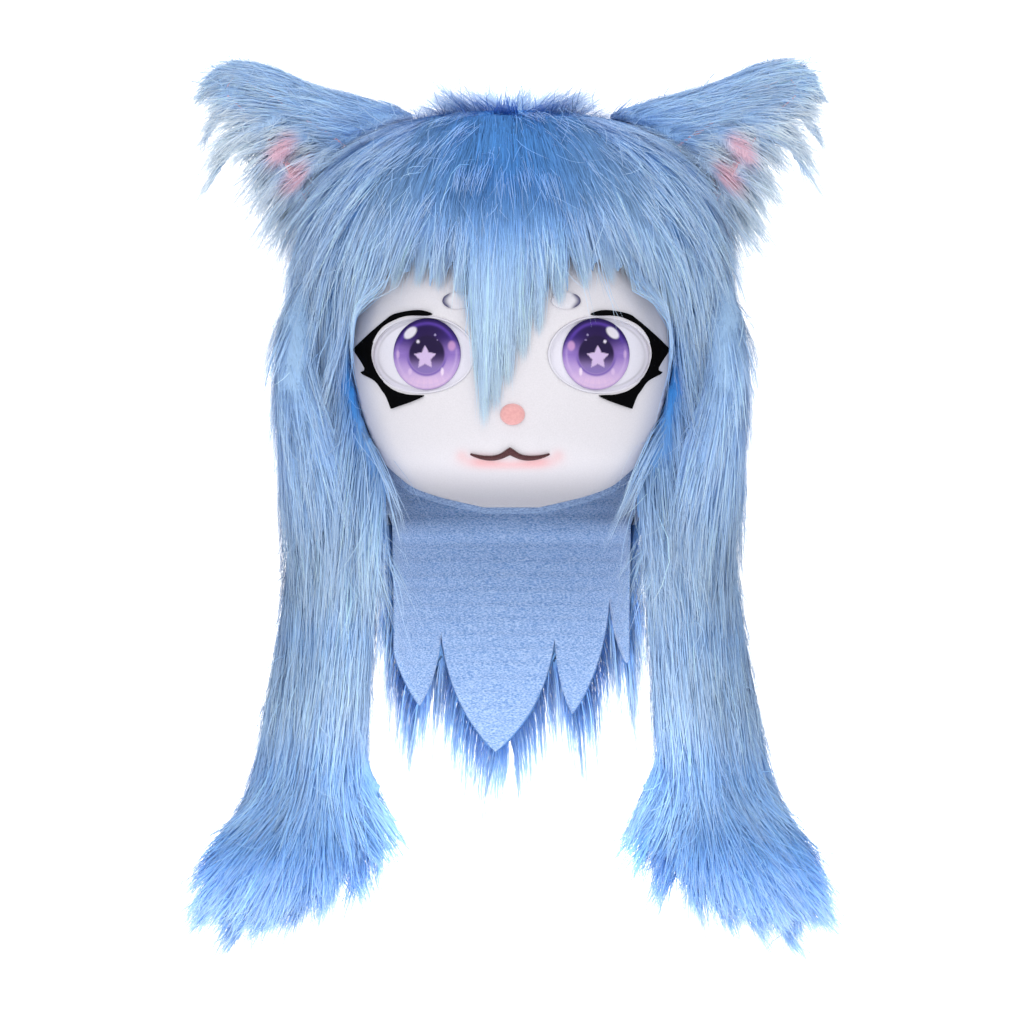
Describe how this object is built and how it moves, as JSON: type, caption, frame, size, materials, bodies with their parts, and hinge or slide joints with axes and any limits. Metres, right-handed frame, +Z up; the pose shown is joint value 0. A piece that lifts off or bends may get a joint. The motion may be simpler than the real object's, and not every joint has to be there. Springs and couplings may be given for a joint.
{
  "type": "cat-eared fur head costume with a white mask face",
  "caption": "Wearable cat-eared fur head: a rigid white face with recessed eyes, a furry hood with bangs, long side hair and a lobed knit nape cape.",
  "frame": {"origin": "inside roof of the hood at the crown, where the wearer's head carries it", "axes": "+Z up, the face looks along -Y, +X is the picture's right (the wearer's left)"},
  "size_m": [0.5206, 0.3378, 0.722],
  "materials": {
    "face_white": "smooth short-napped white stretch cloth over a rigid shell",
    "eye_white": "fine white see-through mesh on a moulded cup",
    "iris_purple": "printed fine mesh, indigo at the top to lilac at the bottom",
    "lash_black": "matte black felt",
    "brow_grey": "airbrushed grey-blue felt",
    "nose_pink": "satin pink",
    "mouth_brown": "matte dark brown line",
    "knit_blue": "heathered fine blue knit backing",
    "fur_blue": "long straight faux fur, sky blue with pale tips",
    "fur_deep_blue": "long faux fur, deep blue at the root to pale blue at the tip",
    "ear_pink": "short pink plush"
  },
  "bodies": {
    "root": {"face_mask": "face_white", "eye_white_left": "eye_white", "eye_white_right": "eye_white", "iris_left": "iris_purple", "iris_right": "iris_purple", "lash_left": "lash_black", "lash_right": "lash_black", "brow_left": "brow_grey", "brow_right": "brow_grey", "nose": "nose_pink", "mouth_line": "mouth_brown", "hood_cloth": "knit_blue", "nape_cape": "knit_blue", "hood_fur": "fur_blue", "bangs": "fur_deep_blue", "ear_left": "fur_blue", "ear_right": "fur_blue", "ear_lining_left": "ear_pink", "ear_lining_right": "ear_pink", "side_hair_left": "fur_blue", "side_hair_right": "fur_blue"}
  },
  "joints": []
}
